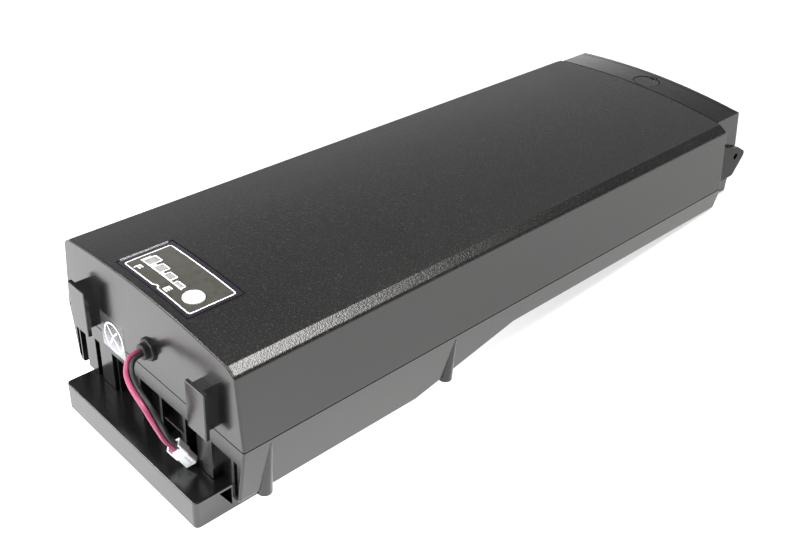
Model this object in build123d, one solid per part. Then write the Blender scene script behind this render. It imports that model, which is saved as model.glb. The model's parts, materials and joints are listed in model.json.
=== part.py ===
"""Battery pack: a crowned cover on a stepped lower shell, with cells, board, gauge, lock and lead.

Design coordinates while modelling, in millimetres:
  X  across the pack, 0 on its middle plane
  Y  along the pack, 0 at the cover's front wall, positive to the rear
  Z  up, 0 at the seam between cover and lower shell
write_part() moves each piece to the part's own frame, whose origin is the bottom
centre of the pack without its lead.
"""
from build123d import *
import math
import os

# ---------------------------------------------------------------- driving dimensions
WALL = 2.4
COVER_LENGTH = 350.0
SEAM_HALF = 68.65            # half width at the seam
SHOULDER_HALF = 64.35        # half width where the side meets the bevel
SHOULDER_Z = 35.8
CROWN_HALF = 59.3            # half width of the crowned top
CROWN_EDGE_Z = 38.85
CROWN_TOP_Z = 42.7
SEAM_GAP = 0.3               # each half stands this far from the seam plane
EDGE_ROUND = 1.1
SHOULDER_ROUND = 2.6         # where the bevel meets the side

SHELL_BOTTOM_Z = -31.3       # under the deep front half
SHELL_REAR_Z = -14.5         # under the shallow rear half
SHELL_BOTTOM_HALF = 64.2
DEEP_END_Y = 103.0
RAMP_END_Y = 168.0
BAND_Z = -9.0                # plain band above the pockets
POCKET_DEPTH = 5.0

LEDGE_FRONT_Y = -14.3
LEDGE_REAR_Y = 22.0
LEDGE_HALF = 52.7
LEDGE_BOTTOM_Z = -45.7
LEDGE_CORNER = 2.4
LEDGE_RIM = 0.6
NOTCH_DEPTH = 7.0            # triangular pocket in each side of the ledge
NOTCH_INNER_X = 44.3

CAP_REAR_Y = 373.5
CAP_TOP_HALF = 57.5
CAP_HALF = 60.3
CAP_DRAFT_Z = 17.6           # the cap's sides are upright below this
CAP_BOTTOM_Z = -12.0

LUG_TIP_Y = 378.7
LUG_THICK = 3.6
LUG_HOLE_Y = 369.0
LUG_HOLE_Z = 13.7
LUG_HOLE_R = 2.0

HOOK_X = 45.6
HOOK_WEB = 7.0
HOOK_PLATE = 13.2
HOOK_WEB_DEPTH = 4.6
HOOK_PLATE_THICK = 1.9
HOOK_TOP_Z = 23.0

GROMMET_X = 2.6
GROMMET_Z = 13.9
GROMMET_FRONT_Y = -4.2
WIRE_D = 2.2
WIRE_PITCH = 2.44
PLUG_NOSE = (32.2, -1.5, -29.4)   # middle of the plug's nose end
PLUG_AIM = (0.38, 0.45, -0.81)    # the way the plug points
PLUG_LENGTH = 12.4
PLUG_STEP = 6.6                   # where the plug's body meets its nose
PLUG_TROUGH = 2.6                 # length of the open trough at its rear
CONTACT_PITCH = 2.5

BUTTON_X = 17.1
BUTTON_Y = 14.5
BUTTON_D = 9.7
BUTTON_HOLE_D = 10.3

CELL_R = 9.15
CELL_LENGTH = 65.0
CELL_PITCH_X = 19.0
CELL_PITCH_Y = 66.0
CELL_COLUMNS = 6
FIRST_ROW_Y = 66.0
LAYER_LOW_Z = -0.8
LAYER_HIGH_Z = 18.4
HOLDER_HALF = 58.0
HOLDER_DEPTH = 9.0

BOARD_Z = -22.0              # underside of the management board
BOARD_HALF = 52.0
BOARD_FRONT_Y = 18.0
BOARD_REAR_Y = 94.0
BOARD_THICK = 1.6
BOARD_SCREW_X = 46.0
BOARD_SCREW_YS = (24.0, 88.0)

GAUGE_BOARD_Z = 31.4
LIGHT_XS = (-16.8, -9.05, -1.3, 6.45)
LIGHT_TOPS_Y = (19.5, 18.2, 16.9, 15.6)
LIGHT_BASE_Y = 13.9
LIGHT_WIDTH = 4.4

SOCKET_Y = 4.0               # middle of the discharge socket
CABLE_Y = 11.0               # where its cables come down

LOCK_Y = 358.8
LOCK_RECESS_R = 8.2
LID_R = 7.8
LID_THICK = 1.4
LID_AXIS_Y = 366.0
LID_AXIS_Z = 41.75
ROTOR_R = 4.5

SCREW_X = 61.0
SCREW_YS = (14.0, 123.0, 240.0, 342.0)
POST_YS = (14.0, 123.0)
SCREW_SINK = 1.7             # depth of the screw heads in the underside

ORIGIN_Y = (LEDGE_FRONT_Y + LUG_TIP_Y) / 2
ORIGIN_Z = LEDGE_BOTTOM_Z

os.makedirs("parts", exist_ok=True)


# ---------------------------------------------------------------- small helpers
def block(x0, x1, y0, y1, z0, z1):
    """A plain block between two corners."""
    centre = Pos((x0 + x1) / 2, (y0 + y1) / 2, (z0 + z1) / 2)
    return centre * Box(x1 - x0, y1 - y0, z1 - z0)


def upright(x, y, z0, z1, radius):
    """A cylinder along Z."""
    return Pos(x, y, (z0 + z1) / 2) * Cylinder(radius, z1 - z0)


def along_y(x, z, y0, y1, radius):
    """A cylinder along Y."""
    return Pos(x, (y0 + y1) / 2, z) * Rot(90, 0, 0) * Cylinder(radius, y1 - y0)


def along_x(y, z, x0, x1, radius):
    """A cylinder along X."""
    return Pos((x0 + x1) / 2, y, z) * Rot(0, 90, 0) * Cylinder(radius, x1 - x0)


def prism_y(face, y0, y1):
    """A face drawn in XZ, extruded from y0 to y1."""
    return Pos(0, y0, 0) * extrude(face, y1 - y0, dir=(0, 1, 0))


def write_part(node, shape):
    """Move a piece to the part's frame and write its file."""
    placed = Pos(0, -ORIGIN_Y, -ORIGIN_Z) * shape
    solids = placed.solids()
    if len(solids) > 1:
        placed = Compound(children=list(solids))
    else:
        placed = solids[0]
    placed.label = node
    export_step(placed, f"parts/{node}.step")


def crown_z(x):
    """Height of the crowned top at x, taken as a shallow parabola."""
    return CROWN_TOP_Z - (CROWN_TOP_Z - CROWN_EDGE_Z) * (x / CROWN_HALF) ** 2


# ---------------------------------------------------------------- cover
def cover_section(inset, bottom_z):
    """Cross section of the cover, or of its hollow when inset is the wall."""
    seam = SEAM_HALF - inset
    shoulder = SHOULDER_HALF - inset
    crown = CROWN_HALF - inset * 0.8
    points = [
        (-crown, CROWN_EDGE_Z - inset),
        (-shoulder, SHOULDER_Z - inset * 0.6),
        (-seam, bottom_z),
        (seam, bottom_z),
        (shoulder, SHOULDER_Z - inset * 0.6),
        (crown, CROWN_EDGE_Z - inset),
    ]
    with BuildSketch(Plane.XZ) as sketch:
        with BuildLine():
            Polyline(*points)
            ThreePointArc(points[-1], (0, CROWN_TOP_Z - inset), points[0])
        make_face()
    return sketch.sketch.face()


def crown_slab(x0, x1, y0, y1, drop_top, drop_bottom):
    """A sheet that follows the crown, between two depths below it."""
    upper = prism_y(cover_section(drop_top, 0), y0, y1)
    lower = prism_y(cover_section(drop_bottom, 0), y0, y1)
    return (upper - lower) & block(x0, x1, y0, y1, 30, 50)


def make_cover():
    outer = prism_y(cover_section(0, SEAM_GAP), 0, COVER_LENGTH)
    shoulders = outer.edges().filter_by(Axis.Y).filter_by(
        lambda edge: abs(edge.center().Z - SHOULDER_Z) < 0.1)
    outer = fillet(shoulders, SHOULDER_ROUND)
    sharp = outer.edges().filter_by(lambda edge: edge.center().Z > SEAM_GAP + 0.01
                                    and not (edge.geom_type == GeomType.LINE
                                             and abs(edge.center().X) > CROWN_HALF + 1
                                             and abs(edge.center().Y - COVER_LENGTH / 2) < 1))
    outer = fillet(sharp, EDGE_ROUND)
    hollow = prism_y(cover_section(WALL, -1), WALL, COVER_LENGTH - WALL)
    cover = outer - hollow
    # screw bosses on the inside of the walls
    for side in (-1, 1):
        for y in SCREW_YS:
            boss = upright(side * SCREW_X, y, SEAM_GAP, 16, 3.6)
            rib = block(side * SCREW_X - 1.0, side * SCREW_X + 1.0, y - 3.6, y + 3.6, SEAM_GAP, 16)
            web = block(min(side * 61.0, side * 65.8), max(side * 61.0, side * 65.8),
                        y - 1.0, y + 1.0, SEAM_GAP, 16)
            bore = upright(side * SCREW_X, y, -1, 13, 1.5)
            cover = cover + boss + rib + web - bore
    # bosses that carry the gauge board
    for x, y in ((-21.0, 27.5), (22.5, 27.5)):
        cover = cover + upright(x, y, GAUGE_BOARD_Z + BOARD_THICK, 40.6, 2.6)
        cover = cover - upright(x, y, GAUGE_BOARD_Z, 38.0, 0.9)
    # shallow bed of the label with sloped ends, light windows and button hole
    sloped = make_face(Plane.XZ * Polyline(
        (-26.0, 41.0), (-26.0, 41.46), (-28.4, 43.0), (30.4, 43.0), (28.0, 41.34), (28.0, 41.0),
        close=True))
    bed = crown_slab(-30.0, 31.0, 6.4, 31.0, -1.0, 0.5) & prism_y(sloped, 6.4, 31.0)
    bed = bed + crown_slab(-26.0, 28.0, 4.0, 33.0, -1.0, 0.5)
    cover = cover - bed
    for x, top in zip(LIGHT_XS, LIGHT_TOPS_Y):
        half = LIGHT_WIDTH / 2 + 0.1
        cover = cover - block(x - half, x + half, LIGHT_BASE_Y - 0.1, top + 0.1, 38, 50)
    cover = cover - upright(BUTTON_X, BUTTON_Y, 38, 50, BUTTON_HOLE_D / 2)
    # hole for the grommet
    cover = cover - along_y(GROMMET_X, GROMMET_Z, -1, WALL + 1, 4.0)
    return cover


# ---------------------------------------------------------------- lower shell
def shell_section(inset, top_z, bottom_z):
    """Cross section of the lower shell, tapering downwards."""
    slope = (SEAM_HALF - SHELL_BOTTOM_HALF) / -SHELL_BOTTOM_Z
    upper = SEAM_HALF - inset + slope * top_z
    lower = SEAM_HALF - inset + slope * bottom_z
    return make_face(Plane.XZ * Polyline(
        (-upper, top_z), (-lower, bottom_z), (lower, bottom_z), (upper, top_z), close=True))


def shell_profile(y0, y1, lift, top_z):
    """Side view of the lower shell: deep front, ramp, shallow rear."""
    return make_face(Plane.YZ * Polyline(
        (y0, top_z), (y0, SHELL_BOTTOM_Z + lift), (DEEP_END_Y - lift * 0.1, SHELL_BOTTOM_Z + lift),
        (RAMP_END_Y - lift * 0.1, SHELL_REAR_Z + lift), (y1, SHELL_REAR_Z + lift), (y1, top_z),
        close=True))


# pockets in the front of the shell: left edge, right edge, lower edge
POCKETS = (
    (-63.6, -61.4, -28.3),
    (-60.6, -55.3, -32.0),
    (-46.6, -42.3, -32.0),
    (-31.8, -9.6, -32.0),
    (-8.2, 7.2, -32.0),
    (8.8, 25.2, -32.0),
    (26.8, 35.0, -32.0),
    (45.8, 59.6, -32.0),
    (61.4, 63.6, -28.3),
)


def make_shell():
    section = prism_y(shell_section(0, -SEAM_GAP, SHELL_BOTTOM_Z), 0, COVER_LENGTH)
    side_view = extrude(shell_profile(0, COVER_LENGTH, 0, -SEAM_GAP), 80, both=True)
    outer = section & side_view
    low_edges = outer.edges().filter_by(lambda edge: edge.center().Z < SHELL_REAR_Z + 0.5
                                        and abs(edge.center().X) > 60)
    outer = fillet(low_edges.filter_by(lambda edge: edge.center().Y > 1), 2.2)
    corners = outer.edges().filter_by(lambda edge: abs(edge.center().X) > 64
                                      and edge.center().Y < 0.5 and edge.length > 20)
    outer = fillet(corners, EDGE_ROUND)
    inner_section = prism_y(shell_section(WALL, 1, SHELL_BOTTOM_Z), POCKET_DEPTH + WALL,
                            COVER_LENGTH - WALL)
    inner_view = extrude(shell_profile(POCKET_DEPTH + WALL, COVER_LENGTH - WALL, WALL, 1),
                         80, both=True)
    shell = outer - (inner_section & inner_view)
    shell = shell - block(-64.5, 64.5, WALL, POCKET_DEPTH + WALL + 1, BAND_Z + 2, 1)
    for left, right, low in POCKETS:
        shell = shell - block(left, right, -1, POCKET_DEPTH, low, BAND_Z)
    # thin rib in the wide left pocket, and the shelf across one right pocket
    shell = shell + block(-30.4, -29.2, 1.4, POCKET_DEPTH + 0.5, SHELL_BOTTOM_Z, BAND_Z + 0.5)
    shell = shell + block(8.5, 25.5, 0.6, POCKET_DEPTH + 0.5, -21.0, -19.8)
    # tapered half-round posts on the outside of the deep half
    for side in (-1, 1):
        for y in POST_YS:
            foot_z = SHELL_BOTTOM_Z - 1.9 if y < DEEP_END_Y else -28.2
            small = Plane(origin=(side * 66.9, y, -3.0)) * Circle(1.5)
            large = Plane(origin=(side * (66.9 - 0.125 * (-3.0 - foot_z)), y, foot_z)) * Circle(3.5)
            shell = shell + loft([small.face(), large.face()])
    # inner columns for the cover screws
    for side in (-1, 1):
        for y in SCREW_YS:
            floor_z = shell_floor_z(y)
            wall_x = side * (SEAM_HALF - 5.2)
            low, high = min(side * SCREW_X, wall_x), max(side * SCREW_X, wall_x)
            shell = shell + upright(side * SCREW_X, y, floor_z, -SEAM_GAP, 3.6)
            shell = shell + block(low, high, y - 2.0, y + 2.0, floor_z, -SEAM_GAP)
            shell = shell - upright(side * SCREW_X, y, -40, 1, 1.6)
            shell = shell - upright(side * SCREW_X, y, -40, floor_z + SCREW_SINK, 3.0)
    # posts for the management board
    for x in (-BOARD_SCREW_X, BOARD_SCREW_X):
        for y in BOARD_SCREW_YS:
            shell = shell + upright(x, y, SHELL_BOTTOM_Z + 1, BOARD_Z, 3.4)
            shell = shell - upright(x, y, BOARD_Z - 6, BOARD_Z + 1, 1.2)
    # holes down into the ledge: cables and ledge screws
    shell = shell - block(-12, 12, CABLE_Y - 2, CABLE_Y + 2, -40, -20)
    for x in (-40.0, 40.0):
        shell = shell - upright(x, 14.0, -40, -20, 1.7)
    return shell


def shell_floor_z(y):
    """Height of the shell's underside at y."""
    if y <= DEEP_END_Y:
        return SHELL_BOTTOM_Z
    if y >= RAMP_END_Y:
        return SHELL_REAR_Z
    share = (y - DEEP_END_Y) / (RAMP_END_Y - DEEP_END_Y)
    return SHELL_BOTTOM_Z + share * (SHELL_REAR_Z - SHELL_BOTTOM_Z)


def make_ledge():
    """The tray-like foot under the front: a rounded block, hollow from below."""
    ledge = block(-LEDGE_HALF, LEDGE_HALF, LEDGE_FRONT_Y, LEDGE_REAR_Y, LEDGE_BOTTOM_Z,
                  SHELL_BOTTOM_Z)
    ledge = fillet(ledge.edges().filter_by(Axis.Z), LEDGE_CORNER)
    rim = ledge.faces().sort_by(Axis.Z)[-1].edges()
    ledge = fillet(rim, LEDGE_RIM)
    for side in (-1, 1):
        inner = side * 15.0
        outer = side * (LEDGE_HALF - WALL)
        ledge = ledge - block(min(inner, outer), max(inner, outer), LEDGE_FRONT_Y + WALL,
                              LEDGE_REAR_Y - WALL, LEDGE_BOTTOM_Z - 1, SHELL_BOTTOM_Z - WALL)
        # triangular opening in the side, close to the shell
        notch = make_face(Plane.YZ * Polyline(
            (-2.0, SHELL_BOTTOM_Z - 1.5), (4.3, SHELL_BOTTOM_Z - 1.5), (4.3, -43.0), close=True))
        notch = extrude(notch, NOTCH_DEPTH, both=True)
        backing = block(min(side * NOTCH_INNER_X, outer), max(side * NOTCH_INNER_X, outer),
                        -5.0, 6.0, LEDGE_BOTTOM_Z + 1, SHELL_BOTTOM_Z - WALL)
        ledge = ledge + backing - Pos(side * LEDGE_HALF, 0, 0) * notch
        # screw bosses
        ledge = ledge + upright(side * 40.0, 14.0, LEDGE_BOTTOM_Z + 4, SHELL_BOTTOM_Z, 4.0)
        ledge = ledge - upright(side * 40.0, 14.0, LEDGE_BOTTOM_Z, SHELL_BOTTOM_Z + 1, 1.7)
    # well of the discharge socket, and the way up for its cables
    ledge = ledge - block(-13.2, 13.2, SOCKET_Y - 9.2, SOCKET_Y + 9.2, LEDGE_BOTTOM_Z - 1, -34.0)
    ledge = ledge - block(-12, 12, CABLE_Y - 2, CABLE_Y + 2, -36.0, SHELL_BOTTOM_Z + 1)
    return ledge


# ---------------------------------------------------------------- rear cap and lock
def cap_section(inset):
    """Cross section of the rear cap: crowned top, drafted then upright sides."""
    top = CAP_TOP_HALF - inset
    side = CAP_HALF - inset
    edge_z = crown_z(CAP_TOP_HALF) - inset
    with BuildSketch(Plane.XZ) as sketch:
        with BuildLine():
            Polyline((-top, edge_z), (-side, CAP_DRAFT_Z), (-side, CAP_BOTTOM_Z + inset),
                     (side, CAP_BOTTOM_Z + inset), (side, CAP_DRAFT_Z), (top, edge_z))
            ThreePointArc((top, edge_z), (0, CROWN_TOP_Z - inset), (-top, edge_z))
        make_face()
    return sketch.sketch.face()


def make_cap():
    cap = prism_y(cap_section(0), COVER_LENGTH, CAP_REAR_Y)
    rear = cap.faces().sort_by(Axis.Y)[-1].edges()
    cap = fillet(rear, 1.0)
    hollow = prism_y(cap_section(WALL), COVER_LENGTH - 1, CAP_REAR_Y - WALL)
    cap = cap - hollow
    # fine line that sets off the rear rim, on the top and down the sides
    line_y = 369.5
    cap = cap - crown_slab(-56.0, 56.0, line_y - 0.25, line_y + 0.25, -1.0, 0.4)
    for side in (-1, 1):
        groove = block(-0.6, 0.6, 369.9, 370.9, 26.0, 37.0)
        cap = cap - Pos(side * 58.9, 0, 0) * Rot(0, -side * 7.7, 0) * groove
    # lock: boss under the top, round recess, barrel hole
    boss = upright(0, LOCK_Y, 23.0, 41.5, 9.4) & block(-20, 20, COVER_LENGTH, 380, 0, 60)
    cap = cap + boss
    cap = cap - upright(0, LOCK_Y, 40.75, 50, LOCK_RECESS_R)
    cap = cap - upright(0, LOCK_Y, 20, 50, 7.05)
    for side in (-1, 1):
        cheek = block(min(side * 2.2, side * 5.0), max(side * 2.2, side * 5.0), 364.9, 367.6,
                      40.45, LID_AXIS_Z + 0.75)
        cap = cap + cheek
    cap = cap - block(-2.2, 2.2, 363.0, LID_AXIS_Y + 1.8, LID_AXIS_Z - 1.7, 50)
    cap = cap - along_x(LID_AXIS_Y, LID_AXIS_Z, -5.4, 5.4, 0.5)
    # way out for the lock's tongue
    cap = cap - block(-6.0, 16.5, 365.0, CAP_REAR_Y + 1, 19.0, 23.0)
    # screw holes in the rear face
    for x in (-48.0, 48.0):
        for z in (0.0, 28.0):
            cap = cap + along_y(x, z, COVER_LENGTH, CAP_REAR_Y - 1.0, 4.2)
            cap = cap - along_y(x, z, COVER_LENGTH - 1, CAP_REAR_Y + 1, 1.6)
            cap = cap - along_y(x, z, CAP_REAR_Y - 3.0, CAP_REAR_Y + 1, 3.1)
    return cap


def make_lid():
    """Round lid over the key, with a knuckle at its rear."""
    low_z = LID_AXIS_Z - LID_THICK / 2
    high_z = LID_AXIS_Z + LID_THICK / 2
    disc = upright(0, LOCK_Y, low_z, high_z, LID_R)
    disc = fillet(disc.edges().sort_by(Axis.Z)[-1], 0.4)
    disc = disc - block(-9, 9, LID_AXIS_Y - 1.6, 380, low_z - 1, high_z + 1)
    tongue = block(-1.8, 1.8, LID_AXIS_Y - 2.2, LID_AXIS_Y, low_z, high_z)
    knuckle = along_x(LID_AXIS_Y, LID_AXIS_Z, -1.8, 1.8, 1.3)
    lid = disc + tongue + knuckle
    lid = lid - along_x(LID_AXIS_Y, LID_AXIS_Z, -3, 3, 0.55)
    grip = Pos(0, LOCK_Y - LID_R, high_z) * Rot(0, 90, 0) * Cylinder(0.7, 6)
    return lid - grip


def make_barrel():
    barrel = upright(0, LOCK_Y, 23.0, 40.4, 7.0)
    return barrel - upright(0, LOCK_Y, 20, 50, ROTOR_R + 0.05)


def make_rotor():
    rotor = upright(0, LOCK_Y, 22.0, 40.2, ROTOR_R)
    rotor = rotor + upright(0, LOCK_Y, 22.0, 22.6, 5.6)
    key_way = block(-0.65, 0.65, LOCK_Y - 3.1, LOCK_Y + 2.6, 33.0, 41)
    return rotor - key_way


def make_tongue():
    """Flat cam that swings out of the rear of the cap."""
    plate = block(0, 15.0, LOCK_Y - 4.0, LOCK_Y + 4.0, 20.0, 22.0)
    round_end = upright(15.0, LOCK_Y, 20.0, 22.0, 4.0)
    hub = upright(0, LOCK_Y, 20.0, 22.0, 5.0)
    return hub + plate + round_end - upright(0, LOCK_Y, 19, 23, 1.5)


def make_lug():
    """Ear behind the right side, with one hole."""
    outline = make_face(Plane.YZ * Polyline(
        (COVER_LENGTH, 25.0), (370.0, 19.6), (LUG_TIP_Y, 14.5), (LUG_TIP_Y, 11.6),
        (370.5, 0.5), (COVER_LENGTH, 0.5), close=True))
    plate = Pos(CAP_HALF, 0, 0) * extrude(outline, LUG_THICK, dir=(1, 0, 0))
    tips = plate.edges().filter_by(Axis.X).filter_by(lambda edge: edge.center().Y > 369)
    plate = fillet(tips, 2.6)
    return plate - along_x(LUG_HOLE_Y, LUG_HOLE_Z, 50, 80, LUG_HOLE_R)


# ---------------------------------------------------------------- front pieces
def make_hook(side):
    """T-shaped hook: a web on the wall and a plate in front of it."""
    x = side * HOOK_X
    web = block(x - HOOK_WEB / 2, x + HOOK_WEB / 2, -HOOK_WEB_DEPTH, 0, 1.0, HOOK_TOP_Z)
    plate = block(x - HOOK_PLATE / 2, x + HOOK_PLATE / 2, -HOOK_WEB_DEPTH - HOOK_PLATE_THICK,
                  -HOOK_WEB_DEPTH, -1.0, HOOK_TOP_Z)
    plate = fillet(plate.faces().sort_by(Axis.Y)[0].edges(), 0.5)
    return web + plate


def make_grommet():
    flange = extrude(Plane.XZ * RegularPolygon(5.6, 8), 1.6)
    flange = chamfer(flange.faces().sort_by(Axis.Y)[0].edges(), 0.4)
    hub = along_y(0, 0, GROMMET_FRONT_Y, -1.5, 3.8)
    hub = fillet(hub.faces().sort_by(Axis.Y)[0].edges(), 0.6)
    neck = along_y(0, 0, 0, WALL, 3.9)
    back = along_y(0, 0, WALL, WALL + 1.6, 5.0)
    body = flange + hub + neck + back
    for side in (-1, 1):
        body = body - along_y(side * WIRE_PITCH / 2, 0, -10, 10, WIRE_D / 2)
    return Pos(GROMMET_X, 0, GROMMET_Z) * body


def on_plug(shape):
    """Place a shape drawn along the plug: X to the nose, Y across the wires, Z out of the trough."""
    aim = Vector(*PLUG_AIM).normalized()
    across = Vector(-aim.Y, aim.X, 0).normalized()
    rear = Vector(*PLUG_NOSE) - aim * PLUG_LENGTH
    return Plane(origin=rear, x_dir=aim, z_dir=-across).location * shape


def make_connector():
    """White two-way plug: wide rear body and a narrow nose."""
    body = block(0, PLUG_STEP, -3.3, 3.3, -2.5, 2.5)
    body = fillet(body.edges().filter_by(Axis.X), 0.7)
    nose = block(PLUG_STEP, PLUG_LENGTH, -2.8, 2.8, -2.2, 2.2)
    nose = fillet(nose.edges().filter_by(Axis.X), 0.5)
    rib = block(PLUG_STEP, PLUG_LENGTH - 1.4, -0.9, 0.9, 2.0, 2.7)
    # rear trough, open on one side, where the wires lie
    reach = CONTACT_PITCH / 2 + WIRE_D / 2 + 0.12
    trough = block(-1, PLUG_TROUGH, -reach, reach, -WIRE_D / 2 - 0.12, 3)
    plug = body + nose + rib - trough
    for side in (-1, 1):
        y = side * CONTACT_PITCH / 2
        plug = plug - block(PLUG_TROUGH - 0.1, PLUG_LENGTH + 1, y - 0.8, y + 0.8, -0.8, 0.8)
    return on_plug(plug)


def make_contacts():
    """The plug's two pins, one for each wire."""
    pins = [block(PLUG_TROUGH, PLUG_LENGTH - 2.4, y - 0.6, y + 0.6, -0.6, 0.6)
            for y in (-CONTACT_PITCH / 2, CONTACT_PITCH / 2)]
    return on_plug(Compound(children=pins))


RED_ROUTE = (
    (1.38, -4.2, 13.9), (1.4, -7.6, 13.9), (1.9, -10.2, 12.6), (3.6, -12.4, 10.4),
    (6.9, -14.4, 9.2), (11.9, -16.1, 8.7), (17.0, -17.2, 8.2), (22.0, -17.7, 6.9),
    (26.3, -17.5, 4.1), (29.4, -16.5, -1.0), (29.1, -14.2, -7.0), (27.9, -12.1, -12.3),
    (27.0, -10.1, -16.6), (26.69, -8.02, -19.78), (27.83, -6.68, -22.21),
)
BLACK_ROUTE = (
    (3.82, -4.2, 13.9), (3.86, -7.0, 13.9), (4.5, -9.5, 12.8), (6.2, -11.2, 11.0),
    (8.8, -12.5, 9.7), (13.2, -13.8, 9.1), (17.8, -14.9, 8.5), (22.9, -15.4, 7.2),
    (27.4, -15.3, 4.6), (30.6, -14.4, -0.4), (30.5, -12.3, -6.2), (29.3, -10.3, -11.3),
    (28.3, -8.5, -15.3), (28.0, -6.48, -18.31), (29.13, -5.13, -20.74),
)


def make_wire(name, route):
    """A round wire along straight runs joined by tangent arcs."""
    points = [Vector(*point) for point in route]
    radii = []
    for before, corner, after in zip(points, points[1:], points[2:]):
        run_in = corner - before
        run_out = after - corner
        half_turn = math.radians(run_in.get_angle(run_out)) / 2
        radii.append(0.45 * min(run_in.length, run_out.length) / math.tan(half_turn))
    path = FilletPolyline(*points, radius=radii)
    start = Plane(origin=points[0], z_dir=points[1] - points[0])
    wire = sweep(start * Circle(WIRE_D / 2), path=path)
    exact = math.pi * WIRE_D ** 2 / 4 * path.length
    print(name, "length", round(path.length, 2), "volume share", round(wire.volume / exact, 4))
    print("  radii", [round(radius, 1) for radius in radii])
    return wire


# ---------------------------------------------------------------- gauge
def make_label():
    label = crown_slab(-25.4, 27.4, 4.6, 32.4, 0.1, 0.48)
    for x, top in zip(LIGHT_XS, LIGHT_TOPS_Y):
        half = LIGHT_WIDTH / 2 + 0.1
        label = label - block(x - half, x + half, LIGHT_BASE_Y - 0.1, top + 0.1, 38, 50)
    return label - upright(BUTTON_X, BUTTON_Y, 38, 50, BUTTON_HOLE_D / 2)


def make_light_guide():
    guide = block(-20.5, 10.2, 12.4, 21.0, 35.2, 37.2)
    for x, top in zip(LIGHT_XS, LIGHT_TOPS_Y):
        half = LIGHT_WIDTH / 2
        guide = guide + block(x - half, x + half, LIGHT_BASE_Y, top, 36.0, crown_z(x) - 0.2)
    return guide


def make_button():
    z_top = crown_z(BUTTON_X) + 0.35
    button = upright(BUTTON_X, BUTTON_Y, 38.0, z_top, BUTTON_D / 2)
    button = fillet(button.edges().sort_by(Axis.Z)[-1], 0.5)
    return button + upright(BUTTON_X, BUTTON_Y, 38.0, 39.1, 6.4)


def make_gauge_board():
    board = block(-24.5, 26.5, 6.0, 31.0, GAUGE_BOARD_Z, GAUGE_BOARD_Z + BOARD_THICK)
    for x in (-21.0, 22.5):
        board = board - upright(x, 27.5, 30, 40, 1.1)
    return board


# ---------------------------------------------------------------- cells
def cell_xs():
    first = -CELL_PITCH_X * (CELL_COLUMNS - 1) / 2
    return [first + CELL_PITCH_X * column for column in range(CELL_COLUMNS)]


def make_cell(x, z, y0, faces_rear):
    """One cell along Y, its positive button at one end."""
    can = along_y(x, z, 0, CELL_LENGTH - 0.8, CELL_R)
    can = fillet(can.edges(), 0.6)
    cell = can + along_y(x, z, CELL_LENGTH - 1.0, CELL_LENGTH, 3.2)
    if faces_rear:
        return Pos(0, y0, 0) * cell
    return Pos(0, y0 + CELL_LENGTH, 0) * mirror(cell, about=Plane.XZ)


def cell_groups():
    """Layer height and first Y of each series group, in electrical order."""
    upper = [(LAYER_HIGH_Z, FIRST_ROW_Y + CELL_PITCH_Y * row) for row in range(4)]
    lower = [(LAYER_LOW_Z, FIRST_ROW_Y + CELL_PITCH_Y * row) for row in (3, 2, 1)]
    return upper + lower


def make_holder(index):
    """Frame that grips the cell ends around one joint line."""
    y = FIRST_ROW_Y - 0.5 + CELL_PITCH_Y * index
    y0, y1 = y - HOLDER_DEPTH / 2, y + HOLDER_DEPTH / 2
    holder = block(-HOLDER_HALF, HOLDER_HALF, y0, y1, LAYER_LOW_Z - 10.4, LAYER_HIGH_Z + 10.4)
    holder = fillet(holder.edges().filter_by(Axis.Y), 3.0)
    heights = (LAYER_HIGH_Z,) if index == 0 else (LAYER_LOW_Z, LAYER_HIGH_Z)
    for z in heights:
        for x in cell_xs():
            holder = holder - along_y(x, z, y0 - 1, y1 + 1, CELL_R + 0.15)
        holder = holder - block(-57.0, 57.0, y - 0.6, y + 0.6, z - 8.2, z + 8.2)
    if index == 4:
        holder = holder - block(-57.0, 57.0, y - 0.6, y + 0.6, LAYER_LOW_Z, LAYER_HIGH_Z)
    if index == 0:
        holder = holder - block(-50.0, 50.0, y0 - 1, y1 + 1, -8.0, 5.0)
    return holder


def link_plate(index, z0, z1):
    y = FIRST_ROW_Y - 0.5 + CELL_PITCH_Y * index
    return block(-56.5, 56.5, y - 0.5, y + 0.5, z0, z1)


def make_links():
    """Nickel plates between the groups; the rear one joins the two layers."""
    plates = [link_plate(index, LAYER_HIGH_Z - 8, LAYER_HIGH_Z + 8) for index in (1, 2, 3)]
    plates += [link_plate(index, LAYER_LOW_Z - 8, LAYER_LOW_Z + 8) for index in (2, 3)]
    plates.append(link_plate(4, LAYER_LOW_Z - 8, LAYER_HIGH_Z + 8))
    return Compound(children=plates)


def make_terminals():
    """The two end plates of the cell string."""
    front = link_plate(0, LAYER_HIGH_Z - 8, LAYER_HIGH_Z + 8)
    rear = link_plate(1, LAYER_LOW_Z - 8, LAYER_LOW_Z + 8)
    return Compound(children=[front, rear])


# ---------------------------------------------------------------- board and power path
def make_board():
    board = block(-BOARD_HALF, BOARD_HALF, BOARD_FRONT_Y, BOARD_REAR_Y, BOARD_Z,
                  BOARD_Z + BOARD_THICK)
    board = fillet(board.edges().filter_by(Axis.Z), 2.0)
    for x in (-BOARD_SCREW_X, BOARD_SCREW_X):
        for y in BOARD_SCREW_YS:
            board = board - upright(x, y, BOARD_Z - 1, BOARD_Z + 3, 1.3)
    return board


def group(shapes):
    return Compound(children=list(shapes))


def make_tube(points, radius, bend):
    """An inner cable with equal bends."""
    vectors = [Vector(*point) for point in points]
    path = FilletPolyline(*vectors, radius=bend)
    start = Plane(origin=vectors[0], z_dir=vectors[1] - vectors[0])
    return sweep(start * Circle(radius), path=path)


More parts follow.
